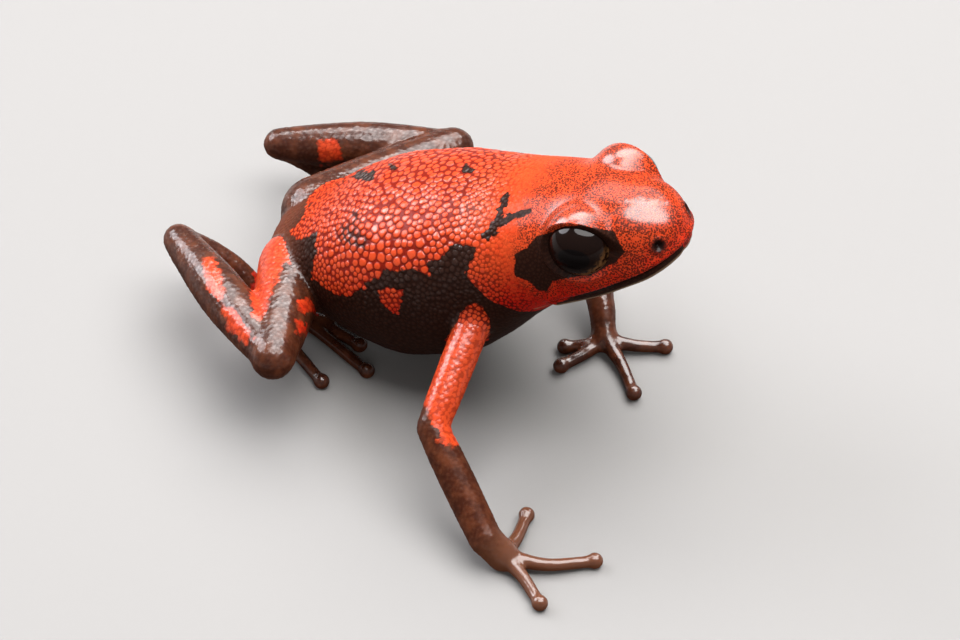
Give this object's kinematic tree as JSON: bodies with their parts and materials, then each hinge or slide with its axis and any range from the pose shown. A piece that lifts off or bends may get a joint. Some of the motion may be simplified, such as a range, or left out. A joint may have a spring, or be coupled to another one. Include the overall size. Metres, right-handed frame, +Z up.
{
  "type": "poison dart frog",
  "caption": "Still, life-size model of a small red and black poison dart frog sitting with its head raised and one arm reaching out.",
  "frame": {"origin": "on the floor, under the middle of the whole frog's outline", "axes": "+X towards the snout, +Y towards the frog's left, +Z up"},
  "size_m": [0.0224, 0.0204, 0.0119],
  "materials": {
    "skin": "moist, granular, glossy",
    "eye": "wet gloss"
  },
  "bodies": {
    "root": {"head": "skin", "torso": "skin", "right_eye": "eye", "left_eye": "eye", "right_upper_arm": "skin", "left_upper_arm": "skin", "right_forearm": "skin", "left_forearm": "skin", "right_hand": "skin", "left_hand": "skin", "right_thigh": "skin", "left_thigh": "skin", "right_shank": "skin", "left_shank": "skin", "right_foot": "skin", "left_foot": "skin"}
  },
  "joints": []
}
